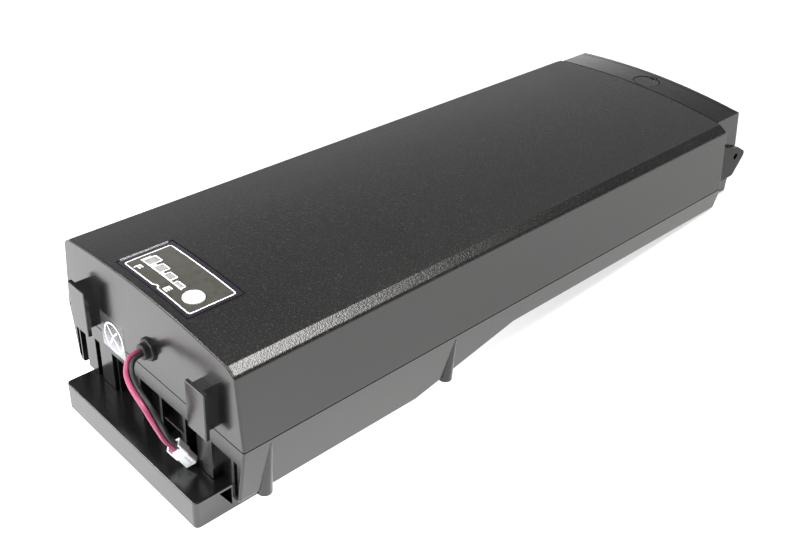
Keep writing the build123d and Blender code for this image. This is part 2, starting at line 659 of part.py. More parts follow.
def make_screw(x, y, z_head, length, radius, head_radius, head_height, up=1):
    """Pan-head screw along Z; up=1 points the shank upwards."""
    shank = upright(x, y, min(z_head, z_head + up * length), max(z_head, z_head + up * length), radius)
    low, high = sorted((z_head, z_head - up * head_height))
    return shank + upright(x, y, low, high, head_radius)


def build_all():
    top = BOARD_Z + BOARD_THICK
    write_part("top_cover", make_cover())
    write_part("lower_shell", make_shell())
    write_part("front_ledge", make_ledge())
    write_part("rear_cap", make_cap())
    write_part("side_lug", make_lug())
    write_part("hook_left", make_hook(-1))
    write_part("hook_right", make_hook(1))

    # seam gasket: a flat ring between the two halves
    ring = block(-67.6, 67.6, 1.0, 349.0, -SEAM_GAP, SEAM_GAP)
    ring = ring - block(-66.5, 66.5, 2.2, 347.8, -1, 1)
    write_part("seam_gasket", ring)

    # lead
    write_part("grommet", make_grommet())
    write_part("lead_red", make_wire("red", RED_ROUTE))
    write_part("lead_black", make_wire("black", BLACK_ROUTE))
    write_part("lead_connector", make_connector())
    write_part("lead_contacts", make_contacts())
    write_part("clear_sticker", block(-37.6, -18.6, -0.15, 0, -6.2, 12.6))

    # gauge
    write_part("gauge_label", make_label())
    write_part("gauge_light_guide", make_light_guide())
    write_part("gauge_button", make_button())
    write_part("gauge_board", make_gauge_board())
    board_top = GAUGE_BOARD_Z + BOARD_THICK
    leds = [block(x - 1.6, x + 1.6, 15.2, 17.2, board_top, board_top + 1.5) for x in LIGHT_XS]
    write_part("gauge_leds", group(leds))
    switch = block(BUTTON_X - 3, BUTTON_X + 3, BUTTON_Y - 3, BUTTON_Y + 3, board_top, board_top + 3.3)
    switch = switch + upright(BUTTON_X, BUTTON_Y, board_top + 3, board_top + 3.9, 1.7)
    write_part("gauge_switch", switch)
    gauge_screws = [make_screw(x, 27.5, GAUGE_BOARD_Z, 6.0, 0.88, 1.9, 1.2) for x in (-21.0, 22.5)]
    write_part("gauge_screws", group(gauge_screws))
    ribbon = make_tube([(20, 8.5, GAUGE_BOARD_Z), (20, 8.5, 22), (34, 24, 8), (34, 24, top + 8)], 1.2, 4.0)
    write_part("gauge_cable", ribbon)

    # cells
    for number, (z, y0) in enumerate(cell_groups(), 1):
        cells = [make_cell(x, z, y0, number % 2 == 1) for x in cell_xs()]
        write_part(f"cell_group_{number}", group(cells))
    for index in range(5):
        write_part(f"cell_holder_{index + 1}", make_holder(index))
    write_part("series_links", make_links())
    write_part("end_terminals", make_terminals())
    write_part("insulation_top", block(-57, 57, 62, 334, LAYER_HIGH_Z + 10.5, LAYER_HIGH_Z + 12.0))
    write_part("insulation_bottom", block(-57, 57, 172, 334, LAYER_LOW_Z - 11.2, LAYER_LOW_Z - 10.5))

    # management board and what stands on it
    write_part("bms_board", make_board())
    switches = [block(x - 5, x + 5, 78, 87, top, top + 4.4) for x in (-36, -24, -12, 0, 12, 24, 36)]
    write_part("bms_transistors", group(switches))
    write_part("heat_spreader", block(-42, 42, 77, 88, top + 4.4, top + 7.4))
    capacitors = [upright(x, 48, top, top + 12, 5.0) for x in (-40, -28, -16)]
    write_part("bms_capacitors", group(capacitors))
    socket = block(26, 42, 20, 28, top, top + 8) - block(27.2, 40.8, 21.2, 26.8, top + 1.5, top + 9)
    write_part("bms_socket", socket)
    board_screws = [make_screw(x, y, top, 6.0, 1.18, 2.6, 1.6, up=-1)
                    for x in (-BOARD_SCREW_X, BOARD_SCREW_X) for y in BOARD_SCREW_YS]
    write_part("board_screws", group(board_screws))
    holder = block(-4, 18, 34, 46, top, top + 7) - block(-1.5, 15.5, 37, 43, top + 2, top + 8)
    write_part("fuse_holder", holder)
    fuse = block(-1.2, 15.2, 37.3, 42.7, top + 7.1, top + 14)
    for x in (0.5, 10.5):
        fuse = fuse + block(x, x + 3, 39.6, 40.4, top + 2.4, top + 8)
    write_part("main_fuse", fuse)

    # power path down to the discharge socket
    plus = [(-8, 26, top), (-8, 26, -12), (-8, CABLE_Y, -12), (-8, CABLE_Y, -34.2)]
    minus = [(8, 26, top), (8, 26, -12), (8, CABLE_Y, -12), (8, CABLE_Y, -34.2)]
    write_part("cable_plus", make_tube(plus, 1.9, 4.0))
    write_part("cable_minus", make_tube(minus, 1.9, 4.0))
    housing = block(-13.0, 13.0, SOCKET_Y - 9.0, SOCKET_Y + 9.0, -44.4, -34.2)
    housing = housing - block(-11.2, 11.2, SOCKET_Y - 7.2, SOCKET_Y + 7.2, -46, -37.0)
    write_part("discharge_socket", housing)
    blades = [block(x - 0.6, x + 0.6, SOCKET_Y - 4.5, SOCKET_Y + 4.5, -43.6, -37.0) for x in (-7.5, 7.5)]
    blades += [block(-0.4, 0.4, y - 1.5, y + 1.5, -42.6, -37.0) for y in (SOCKET_Y - 3.5, SOCKET_Y + 3.5)]
    write_part("discharge_blades", group(blades))
    seal = block(-13.1, 13.1, SOCKET_Y - 9.1, SOCKET_Y + 9.1, LEDGE_BOTTOM_Z + 0.2, -44.4)
    write_part("socket_seal", seal - block(-11.2, 11.2, SOCKET_Y - 7.2, SOCKET_Y + 7.2, -50, -40))

    # lock
    write_part("lock_lid", make_lid())
    write_part("lid_pin", along_x(LID_AXIS_Y, LID_AXIS_Z, -5.4, 5.4, 0.5))
    write_part("lock_barrel", make_barrel())
    write_part("lock_rotor", make_rotor())
    write_part("lock_tongue", make_tongue())

    # fasteners
    cover_screws = []
    for side in (-1, 1):
        for y in SCREW_YS:
            head_z = shell_floor_z(y) + SCREW_SINK
            cover_screws.append(make_screw(side * SCREW_X, y, head_z, 12.5 - head_z, 1.48, 2.8, 1.4))
    write_part("cover_screws", group(cover_screws))
    ledge_screws = [make_screw(x, 14.0, SHELL_BOTTOM_Z + WALL, 9.0, 1.6, 3.0, 1.8, up=-1)
                    for x in (-40.0, 40.0)]
    write_part("ledge_screws", group(ledge_screws))
    cap_screws = []
    for x in (-48.0, 48.0):
        for z in (0.0, 28.0):
            shank = along_y(x, z, COVER_LENGTH + 0.1, CAP_REAR_Y - 3.0, 1.55)
            cap_screws.append(shank + along_y(x, z, CAP_REAR_Y - 3.0, CAP_REAR_Y - 1.2, 3.0))
    write_part("cap_screws", group(cap_screws))


build_all()
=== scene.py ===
import json
import math

import bpy
from mathutils import Matrix, Vector


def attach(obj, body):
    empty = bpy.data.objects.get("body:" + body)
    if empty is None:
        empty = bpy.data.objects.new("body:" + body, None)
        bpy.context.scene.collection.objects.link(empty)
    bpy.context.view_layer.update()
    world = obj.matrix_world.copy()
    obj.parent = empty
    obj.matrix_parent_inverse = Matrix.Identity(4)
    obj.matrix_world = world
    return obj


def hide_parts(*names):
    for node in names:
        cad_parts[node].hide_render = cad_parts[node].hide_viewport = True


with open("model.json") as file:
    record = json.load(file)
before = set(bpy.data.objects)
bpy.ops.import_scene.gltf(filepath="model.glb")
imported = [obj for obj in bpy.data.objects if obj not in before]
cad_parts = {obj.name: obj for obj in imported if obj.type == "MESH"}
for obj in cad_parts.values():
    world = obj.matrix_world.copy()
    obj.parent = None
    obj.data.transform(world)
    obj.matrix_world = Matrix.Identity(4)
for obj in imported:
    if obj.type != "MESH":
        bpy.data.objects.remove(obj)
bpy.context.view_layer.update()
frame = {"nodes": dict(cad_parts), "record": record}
NODES = frame["nodes"]

# The CAD source models in mm, with y 0 at the cover's front wall and z 0 at the seam.
MM = 0.001
MID_Y = 182.2                # the row frame's origin, behind the front wall
SEAM_Z = 45.7                # height of the seam over the foot's underside


def at(x, y, z):
    """A point of the CAD source, in the row frame in metres."""
    return Vector((x * MM, (y - MID_Y) * MM, (z + SEAM_Z) * MM))


# ---------------------------------------------------------------- camera
CAMERA_PLACE = (0.3254, -0.3637, 0.3407)     # metres, row frame
CAMERA_AZIMUTH = 44.20                       # degrees
CAMERA_ELEVATION = 33.78
CAMERA_ROLL = 3.68
CAMERA_LENS = 47.63                          # mm
SENSOR_WIDTH = 36.0
NEAREST, FURTHEST = 0.01, 50.0               # metres


def make_camera():
    """Camera that looks down on the front right corner."""
    a = math.radians(CAMERA_AZIMUTH)
    e = math.radians(CAMERA_ELEVATION)
    r = math.radians(CAMERA_ROLL)
    back = Vector((math.sin(a) * math.cos(e), -math.cos(a) * math.cos(e), math.sin(e)))
    right = Vector((math.cos(a), math.sin(a), 0.0))
    up = back.cross(right)
    x_axis = right * math.cos(r) + up * math.sin(r)
    y_axis = up * math.cos(r) - right * math.sin(r)
    data = bpy.data.cameras.new("camera")
    data.lens = CAMERA_LENS
    data.sensor_width = SENSOR_WIDTH
    data.clip_start = NEAREST
    data.clip_end = FURTHEST
    camera = bpy.data.objects.new("camera", data)
    bpy.context.scene.collection.objects.link(camera)
    place = Matrix((x_axis, y_axis, back)).transposed().to_4x4()
    place.translation = Vector(CAMERA_PLACE)
    camera.matrix_world = place
    bpy.context.scene.camera = camera


make_camera()


# ---------------------------------------------------------------- node helpers
class Shader:
    """A material's node tree with short calls for the nodes used here."""

    def __init__(self, name):
        self.material = bpy.data.materials.new(name)
        self.material.use_nodes = True
        self.tree = self.material.node_tree
        self.tree.nodes.clear()
        self.output = self.tree.nodes.new("ShaderNodeOutputMaterial")
        self.place = self.tree.nodes.new("ShaderNodeTexCoord")

    def link(self, source, target):
        """Set a number or colour on a socket, or link another socket to it."""
        if isinstance(source, (int, float, tuple)):
            target.default_value = source
        else:
            self.tree.links.new(source, target)

    def node(self, kind, **settings):
        made = self.tree.nodes.new(kind)
        for key, value in settings.items():
            setattr(made, key, value)
        return made

    def coords(self, scale=(1.0, 1.0, 1.0)):
        """Object coordinates, in metres before the scale."""
        made = self.node("ShaderNodeMapping")
        made.inputs["Scale"].default_value = scale
        self.link(self.place.outputs["Object"], made.inputs["Vector"])
        return made.outputs["Vector"]

    def noise(self, scale, detail=2.0, rough=0.5, stretch=(1.0, 1.0, 1.0)):
        """Noise with about this many features per metre."""
        made = self.node("ShaderNodeTexNoise")
        made.inputs["Scale"].default_value = scale
        made.inputs["Detail"].default_value = detail
        made.inputs["Roughness"].default_value = rough
        self.link(self.coords(stretch), made.inputs["Vector"])
        return made.outputs["Fac"]

    def cells(self, scale):
        """Distance to the nearest of about this many cells per metre."""
        made = self.node("ShaderNodeTexVoronoi")
        made.inputs["Scale"].default_value = scale
        self.link(self.coords(), made.inputs["Vector"])
        return made.outputs["Distance"]

    def math(self, operation, first, second=0.5):
        made = self.node("ShaderNodeMath", operation=operation)
        for socket, value in zip(made.inputs, (first, second)):
            self.link(value, socket)
        return made.outputs["Value"]

    def span(self, value, low, high, out_low=0.0, out_high=1.0, smooth=False):
        """Map low..high to out_low..out_high and clamp."""
        made = self.node("ShaderNodeMapRange")
        made.interpolation_type = "SMOOTHSTEP" if smooth else "LINEAR"
        for name, item in (("Value", value), ("From Min", low), ("From Max", high),
                           ("To Min", out_low), ("To Max", out_high)):
            self.link(item, made.inputs[name])
        return made.outputs["Result"]

    def mix(self, share, first, second):
        """Colour between two colours."""
        made = self.node("ShaderNodeMix", data_type="RGBA")
        self.link(share, made.inputs["Factor"])
        self.link(first, made.inputs["A"])
        self.link(second, made.inputs["B"])
        return made.outputs["Result"]

    def blend(self, share, first, second):
        """Number between two numbers."""
        made = self.node("ShaderNodeMix", data_type="FLOAT")
        self.link(share, made.inputs["Factor"])
        self.link(first, made.inputs["A"])
        self.link(second, made.inputs["B"])
        return made.outputs["Result"]

    def axis(self, name, source="Object"):
        """One coordinate of the place or of the normal."""
        made = self.node("ShaderNodeSeparateXYZ")
        self.link(self.place.outputs[source], made.inputs[0])
        return made.outputs[name]

    def bump(self, height, strength, distance, below=None):
        """Normal raised by the height, with the distance in metres."""
        made = self.node("ShaderNodeBump")
        self.link(strength, made.inputs["Strength"])
        made.inputs["Distance"].default_value = distance
        self.link(height, made.inputs["Height"])
        if below is not None:
            self.link(below, made.inputs["Normal"])
        return made.outputs["Normal"]

    def surface(self, **inputs):
        """Principled shader with these inputs; gives the finished material."""
        made = self.node("ShaderNodeBsdfPrincipled")
        for name, value in inputs.items():
            self.link(value, made.inputs[name.replace("_", " ")])
        self.link(made.outputs["BSDF"], self.output.inputs["Surface"])
        return self.material


def rgb(red, green, blue):
    return (red, green, blue, 1.0)


def grey(value):
    return rgb(value, value, value)


# ---------------------------------------------------------------- the lead
WIRE_D = 2.2 * MM
CURVE_STEPS = 24
RED_ROUTE = (
    (1.38, -4.2, 13.9), (1.4, -7.6, 13.9), (1.9, -10.2, 12.6), (3.6, -12.4, 10.4),
    (6.9, -14.4, 9.2), (11.9, -16.1, 8.7), (17.0, -17.2, 8.2), (22.0, -17.7, 6.9),
    (26.3, -17.5, 4.1), (29.4, -16.5, -1.0), (29.1, -14.2, -7.0), (27.9, -12.1, -12.3),
    (27.0, -10.1, -16.6), (26.69, -8.02, -19.78), (27.83, -6.68, -22.21),
)
BLACK_ROUTE = (
    (3.82, -4.2, 13.9), (3.86, -7.0, 13.9), (4.5, -9.5, 12.8), (6.2, -11.2, 11.0),
    (8.8, -12.5, 9.7), (13.2, -13.8, 9.1), (17.8, -14.9, 8.5), (22.9, -15.4, 7.2),
    (27.4, -15.3, 4.6), (30.6, -14.4, -0.4), (30.5, -12.3, -6.2), (29.3, -10.3, -11.3),
    (28.3, -8.5, -15.3), (28.0, -6.48, -18.31), (29.13, -5.13, -20.74),
)


def make_cord(name, route, node):
    """Round wire along a smooth route from the grommet to the plug."""
    data = bpy.data.curves.new(name, "CURVE")
    data.dimensions = "3D"
    data.resolution_u = CURVE_STEPS
    data.bevel_depth = 1.0       # times each point's radius
    data.bevel_resolution = 6
    data.use_fill_caps = True
    spline = data.splines.new("NURBS")
    spline.points.add(len(route) - 1)
    for point, place in zip(spline.points, route):
        point.co = (*at(*place), 1.0)
        point.radius = WIRE_D / 2
    spline.order_u = 3
    spline.use_endpoint_u = True
    spline.resolution_u = CURVE_STEPS
    cord = bpy.data.objects.new(name, data)
    bpy.context.scene.collection.objects.link(cord)
    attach(cord, "pack")
    tuple(at(*route[0]))
    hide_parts(node)
    return cord


red_cord = make_cord("cord_red", RED_ROUTE, "lead_red")
black_cord = make_cord("cord_black", BLACK_ROUTE, "lead_black")


# ---------------------------------------------------------------- materials
def textured_cover():
    """Black moulding: spark-eroded grain on the top and bevel, satin walls."""
    s = Shader("black_textured")
    upward = s.axis("Z", "Normal")
    facing_up = s.span(upward, 0.30, 0.50, smooth=True)
    on_top = s.span(upward, 0.88, 0.97, smooth=True)
    grain = s.noise(1150.0, detail=2.0, rough=0.6)
    peel = s.noise(95.0, detail=2.0)
    blotch = s.span(s.noise(24.0, detail=4.0), 0.3, 0.7)
    rough_skin = s.bump(grain, strength=facing_up, distance=0.00013)
    peel_strength = s.span(facing_up, 0.0, 1.0, 0.4, 0.1)
    skin = s.bump(peel, strength=peel_strength, distance=0.00015, below=rough_skin)
    tone = s.blend(facing_up, 0.006, 0.008)
    tone = s.math("ADD", tone, s.math("MULTIPLY", blotch, 0.001))
    specks = s.span(grain, 0.54, 0.74, 0.0, 0.65)
    colour = s.mix(s.math("MULTIPLY", specks, facing_up), tone, grey(0.045))
    rough = s.blend(on_top, s.blend(facing_up, 0.19, 0.26), 0.42)
    rough = s.math("ADD", rough, s.math("MULTIPLY", blotch, 0.03))
    shine = s.blend(on_top, s.blend(facing_up, 0.5, 0.36), 0.25)
    return s.surface(Base_Color=colour, Roughness=rough, Normal=skin, IOR=1.55,
                     Specular_IOR_Level=shine)


def satin_plastic(name, value=0.005, rough=0.17, shine=0.5):
    """Smooth black moulding with a slight orange peel and faint handling marks."""
    s = Shader(name)
    peel = s.noise(85.0, detail=2.0)
    fine = s.noise(900.0, detail=2.0)
    rippled = s.bump(peel, strength=0.35, distance=0.00015)
    skin = s.bump(fine, strength=0.2, distance=0.00003, below=rippled)
    blotch = s.span(s.noise(30.0, detail=4.0), 0.3, 0.7)
    long_marks = s.noise(260.0, detail=3.0, rough=0.6, stretch=(1.0, 0.15, 1.0))
    scuff = s.span(long_marks, 0.68, 0.80)
    colour = s.mix(blotch, grey(value * 0.9), grey(value * 1.1))
    colour = s.mix(s.math("MULTIPLY", scuff, 0.03), colour, grey(0.2))
    uneven = s.math("ADD", s.math("MULTIPLY", blotch, 0.04), rough)
    uneven = s.math("ADD", uneven, s.math("MULTIPLY", scuff, 0.08))
    return s.surface(Base_Color=colour, Roughness=uneven, Normal=skin, IOR=1.55,
                     Specular_IOR_Level=shine)


def rubber(name, value):
    """Matt rubber with a fine grain and paler worn patches."""
    s = Shader(name)
    skin = s.bump(s.noise(1600.0, detail=3.0, rough=0.6), strength=0.5, distance=0.00006)
    wear = s.span(s.noise(150.0, detail=3.0), 0.35, 0.75)
    colour = s.mix(wear, grey(value), grey(value * 2.1))
    return s.surface(Base_Color=colour, Roughness=s.span(wear, 0, 1, 0.5, 0.68), Normal=skin)


def wire_sleeve(name, dark, light, rough=0.28):
    """Soft wire insulation with a faint haze."""
    s = Shader(name)
    skin = s.bump(s.noise(700.0, detail=2.0), strength=0.35, distance=0.00005)
    haze = s.span(s.noise(190.0, detail=3.0), 0.3, 0.7)
    return s.surface(Base_Color=s.mix(haze, dark, light), Normal=skin,
                     Roughness=s.span(haze, 0, 1, rough, rough + 0.12),
                     Subsurface_Weight=0.06, Subsurface_Scale=0.001)


def moulded(name, dark, light, rough=0.4, subsurface=0.0):
    """Coloured moulding or film with fine grain and a slight unevenness of tone."""
    s = Shader(name)
    skin = s.bump(s.noise(1100.0, detail=3.0), strength=0.3, distance=0.00004)
    tone = s.span(s.noise(210.0, detail=3.0), 0.3, 0.7)
    return s.surface(Base_Color=s.mix(tone, dark, light), Normal=skin,
                     Roughness=s.span(tone, 0, 1, rough, rough + 0.1),
                     Subsurface_Weight=subsurface, Subsurface_Scale=0.001)


def metal(name, dark, light, rough=0.25, stretch=(1.0, 1.0, 1.0)):
    """Bare metal with fine rolling lines and a slight unevenness of tone."""
    s = Shader(name)
    lines = s.noise(2200.0, detail=3.0, rough=0.6, stretch=stretch)
    tone = s.span(s.noise(240.0, detail=4.0), 0.3, 0.7)
    return s.surface(Base_Color=s.mix(tone, dark, light), Metallic=1.0,
                     Roughness=s.math("ADD", s.math("MULTIPLY", lines, 0.2), rough),
                     Normal=s.bump(lines, strength=0.3, distance=0.00003))


REFLECTION_FULL_Z = -5.2           # the sticker's painted reflection of the floor is full below this height
REFLECTION_END_Z = 6.8             # and gone above this one


def clear_film():
    """Thin clear film: glossy skin, slight ripples, and a painted reflection of the floor as a
    whiter, more opaque lower part.
    """
    s = Shader("clear_film")
    ripple = s.bump(s.noise(60.0, detail=1.0), strength=0.15, distance=0.0001)
    haze = s.span(s.noise(260.0, detail=3.0), 0.3, 0.7)
    reflection_low, reflection_high = at(0, 0, REFLECTION_FULL_Z).z, at(0, 0, REFLECTION_END_Z).z
    # painted reflection of the floor: the pale film grows more opaque, so whiter, towards the
    # bottom
    low = s.span(s.axis("Z"), reflection_low, reflection_high, 1.0, 0.0, smooth=True)
    cover = s.math("ADD", s.span(low, 0, 1, 0.08, 0.60), s.math("MULTIPLY", haze, 0.04))
    return s.surface(Base_Color=s.mix(haze, rgb(0.52, 0.53, 0.58), rgb(0.62, 0.63, 0.68)),
                     Roughness=s.span(haze, 0, 1, 0.12, 0.22), Normal=ripple, Alpha=cover)


FIELD_LEFT, FIELD_RIGHT = -22.6, 25.3        # the label's grey field
FIELD_FRONT, FIELD_REAR = 6.6, 29.9
FIELD_FADE = 0.2                             # width of its soft edge


def label_film():
    """Dark overlay: a warm grey field inside the border and a black margin."""
    s = Shader("label_film")
    across, along = s.axis("X"), s.axis("Y")
    left, right = at(FIELD_LEFT, 0, 0).x, at(FIELD_RIGHT, 0, 0).x
    front, rear = at(0, FIELD_FRONT, 0).y, at(0, FIELD_REAR, 0).y
    fade = FIELD_FADE * MM
    inside_x = s.math("MULTIPLY", s.span(across, left, left + fade),
                      s.span(across, right - fade, right, 1.0, 0.0))
    inside_y = s.math("MULTIPLY", s.span(along, front, front + fade),
                      s.span(along, rear - fade, rear, 1.0, 0.0))
    field = s.math("MULTIPLY", inside_x, inside_y)
    weave = s.span(s.noise(300.0, detail=3.0), 0.3, 0.7)
    inner = s.mix(weave, rgb(0.046, 0.045, 0.038), rgb(0.060, 0.058, 0.050))
    return s.surface(Base_Color=s.mix(field, rgb(0.016, 0.014, 0.022), inner),
                     Roughness=s.span(weave, 0, 1, 0.26, 0.34),
                     Normal=s.bump(s.noise(30.0), strength=0.05, distance=0.0001))


def circuit_board():
    """Green board with slightly raised tracks and tinned pads."""
    s = Shader("circuit_board")
    tracks = s.noise(260.0, detail=1.0, rough=0.3, stretch=(1.0, 0.35, 1.0))
    tracks = s.span(tracks, 0.52, 0.56)
    pads = s.span(s.cells(230.0), 0.10, 0.13, 1.0, 0.0)
    colour = s.mix(tracks, rgb(0.02, 0.13, 0.06), rgb(0.035, 0.20, 0.09))
    colour = s.mix(pads, colour, rgb(0.75, 0.72, 0.62))
    return s.surface(Base_Color=colour, Roughness=s.span(pads, 0, 1, 0.35, 0.22),
                     Metallic=s.math("MULTIPLY", pads, 0.9),
                     Normal=s.bump(tracks, strength=0.4, distance=0.00004))


def cell_sleeve():
    """Shrink sleeve of the cells with a bare bottom and button end."""
    s = Shader("cell_sleeve")
    wrinkle = s.noise(300.0, detail=2.0, stretch=(1.0, 0.3, 1.0))
    flat_end = s.span(s.math("ABSOLUTE", s.axis("Y", "Normal")), 0.92, 0.97)
    sleeve = s.mix(s.span(wrinkle, 0.35, 0.65), rgb(0.05, 0.20, 0.42), rgb(0.07, 0.25, 0.50))
    return s.surface(Base_Color=s.mix(flat_end, sleeve, rgb(0.62, 0.62, 0.60)),
                     Metallic=flat_end, Roughness=s.blend(flat_end, 0.34, 0.28),
                     Normal=s.bump(wrinkle, strength=0.3, distance=0.0001))


ALONG_X = (0.15, 1.0, 1.0)   # stretches of the noise that draw lines along one axis
ALONG_Y = (1.0, 0.2, 1.0)

MATERIALS = {
    "black_textured": textured_cover(),
    "black_satin": satin_plastic("black_satin"),
    "black_rubber": rubber("black_rubber", 0.005),
    "red_wire": wire_sleeve("red_wire", rgb(0.30, 0.035, 0.10), rgb(0.38, 0.055, 0.14)),
    "black_wire": wire_sleeve("black_wire", rgb(0.005, 0.006, 0.006),
                              rgb(0.010, 0.012, 0.011), rough=0.42),
    "white_nylon": moulded("white_nylon", rgb(0.90, 0.92, 0.94), rgb(0.94, 0.95, 0.96),
                           rough=0.35, subsurface=0.15),
    "tinned_metal": metal("tinned_metal", rgb(0.62, 0.62, 0.6), rgb(0.8, 0.8, 0.79)),
    "clear_film": clear_film(),
    "label_film": label_film(),
    "light_guide": moulded("light_guide", rgb(0.22, 0.225, 0.225), rgb(0.30, 0.305, 0.305),
                           rough=0.3, subsurface=0.1),
    "white_print": moulded("white_print", grey(0.84), grey(0.9), rough=0.45),
    "white_button": moulded("white_button", grey(0.84), grey(0.9), rough=0.38, subsurface=0.05),
    "circuit_board": circuit_board(),
    "led_white": moulded("led_white", rgb(0.8, 0.78, 0.6), rgb(0.9, 0.88, 0.75),
                         rough=0.2, subsurface=0.3),
    "switch_black": moulded("switch_black", rgb(0.02, 0.02, 0.022), rgb(0.045, 0.045, 0.05),
                            rough=0.42),
    "steel_screw": metal("steel_screw", rgb(0.45, 0.45, 0.46), rgb(0.62, 0.62, 0.63), rough=0.28),
    "ribbon_grey": rubber("ribbon_grey", 0.2),
    "nickel": metal("nickel", rgb(0.55, 0.53, 0.48), rgb(0.7, 0.68, 0.62),
                    rough=0.26, stretch=ALONG_Y),
    "insulation": moulded("insulation", rgb(0.6, 0.56, 0.42), rgb(0.72, 0.68, 0.55), rough=0.65),
    "heat_aluminium": metal("heat_aluminium", rgb(0.6, 0.6, 0.61), rgb(0.75, 0.75, 0.76),
                            rough=0.3, stretch=ALONG_X),
    "capacitor_sleeve": moulded("capacitor_sleeve", rgb(0.02, 0.03, 0.10),
                                rgb(0.04, 0.05, 0.16), rough=0.25),
    "fuse_body": moulded("fuse_body", rgb(0.65, 0.42, 0.05), rgb(0.75, 0.52, 0.10),
                         rough=0.2, subsurface=0.2),
    "socket_plastic": moulded("socket_plastic", rgb(0.03, 0.03, 0.031),
                              rgb(0.05, 0.05, 0.052), rough=0.48),
    "contact_brass": metal("contact_brass", rgb(0.6, 0.42, 0.16), rgb(0.78, 0.6, 0.28),
                           rough=0.22),
    "lock_zinc": metal("lock_zinc", rgb(0.42, 0.42, 0.43), rgb(0.6, 0.6, 0.61), rough=0.3),
    "cell_sleeve": cell_sleeve(),
    "holder_plastic": moulded("holder_plastic", grey(0.035), grey(0.06), rough=0.5),
}
# Nodes whose plastic is a little duller or glossier than others with the same slot; the side
# lug's darker, duller copy is painted shade.
OWN_FINISH = {
    "side_lug": satin_plastic("black_satin_shaded", 0.003, rough=0.26, shine=0.1),
    "rear_cap": satin_plastic("black_satin_cap", 0.007, rough=0.15, shine=0.42),
    "front_ledge": satin_plastic("black_satin_ledge", 0.007, rough=0.19, shine=0.75),
    "seam_gasket": moulded("gasket_black", grey(0.002), grey(0.004), rough=0.9),
}
SLOT_OF = {row["node"]: row["material_slot"] for row in frame["record"]["subparts"]}


def paint(piece, material):
    piece.data.materials.clear()
    piece.data.materials.append(material)


for node, piece in NODES.items():
    paint(piece, OWN_FINISH.get(node, MATERIALS[SLOT_OF[node]]))
paint(red_cord, MATERIALS["red_wire"])
paint(black_cord, MATERIALS["black_wire"])


# ---------------------------------------------------------------- printed marks
CROWN_TOP = 42.7
CROWN_DROP = 3.85
CROWN_HALF = 59.3
LABEL_DROP = 0.1             # the label's face lies this far under the crown
STICKER_FACE_Y = -0.15
INK = 0.03                   # the ink stands this far out of the printed face
INK_ROOT = 0.01              # and starts this far inside it


def on_label(x, y, raised):
    """A point on the label's face, or raised above it by the ink."""
    crown = CROWN_TOP - CROWN_DROP * (x / CROWN_HALF) ** 2
    return at(x, y, crown - LABEL_DROP + (INK if raised else -INK_ROOT))


def on_sticker(x, z, raised):
    """A point on the sticker's face, or raised in front of it by the ink."""
    return at(x, STICKER_FACE_Y - (INK if raised else -INK_ROOT), z)


SHARPEST_MITRE = 0.5         # smallest cosine that widens a mitred corner


def line_edges(path, width, closed):
    """Left and right edge points of a mitred line."""
    count = len(path)
    edges = []
    for i, point in enumerate(path):
        here = Vector(point)
        before = Vector(path[i - 1]) if closed or i > 0 else None
        after = Vector(path[(i + 1) % count]) if closed or i < count - 1 else None
        run_in = (here - before).normalized() if before is not None else None
        run_out = (after - here).normalized() if after is not None else None
        if run_in is None:
            run_in = run_out
        if run_out is None:
            run_out = run_in
        side_in = Vector((-run_in.y, run_in.x))
        side_out = Vector((-run_out.y, run_out.x))
        mitre = (side_in + side_out).normalized()
        reach = width / 2 / max(SHARPEST_MITRE, mitre.dot(side_in))
        edges.append((here + mitre * reach, here - mitre * reach))
    return edges


def add_line(mesh, path, width, surface, closed=False):
    """Add a raised line to lists of vertices and faces."""
    vertices, faces = mesh
    edges = line_edges(path, width, closed)
    first = len(vertices)
    for left, right in edges:
        for edge in (left, right):
            vertices.append(surface(edge.x, edge.y, True))
            vertices.append(surface(edge.x, edge.y, False))
    count = len(edges)
    for i in range(count if closed else count - 1):
        a = first + 4 * i
        b = first + 4 * ((i + 1) % count)
        faces.append((a, a + 2, b + 2, b))
        faces.append((a + 1, b + 1, b + 3, a + 3))
        faces.append((a, b, b + 1, a + 1))
        faces.append((a + 2, a + 3, b + 3, b + 2))
    if not closed:
        last = first + 4 * (count - 1)
        faces.append((first, first + 1, first + 3, first + 2))
        faces.append((last, last + 2, last + 3, last + 1))


def mark_piece(name, mesh):
    """White printed piece from lists of vertices and faces."""
    vertices, faces = mesh
    data = bpy.data.meshes.new(name)
    data.from_pydata([tuple(v) for v in vertices], [], faces)
    data.validate()
    piece = bpy.data.objects.new(name, data)
    bpy.context.scene.collection.objects.link(piece)
    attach(piece, "pack")
    paint(piece, MATERIALS["white_print"])


def arc(x, y, radius, start, end, steps=6):
    """Points on an arc, with the angles in degrees."""
    turns = [math.radians(start + (end - start) * i / steps) for i in range(steps + 1)]
    return [(x + radius * math.cos(t), y + radius * math.sin(t)) for t in turns]


def run(start, end, step=3.0):
    """Points between two corners, close enough to follow the crown."""
    count = max(1, round((Vector(end) - Vector(start)).length / step))
    return [tuple(Vector(start).lerp(Vector(end), i / count)) for i in range(count)]


BORDER_LEFT, BORDER_RIGHT = -22.8, 25.5
BORDER_FRONT, BORDER_REAR = 6.5, 29.9
BORDER_ROUND = 1.3
BORDER_LINE = 0.6
NOTCH = ((-1.0, 0.0), (0.4, 1.1), (1.9, 1.1), (2.8, 0.0))    # x, and depth into the field


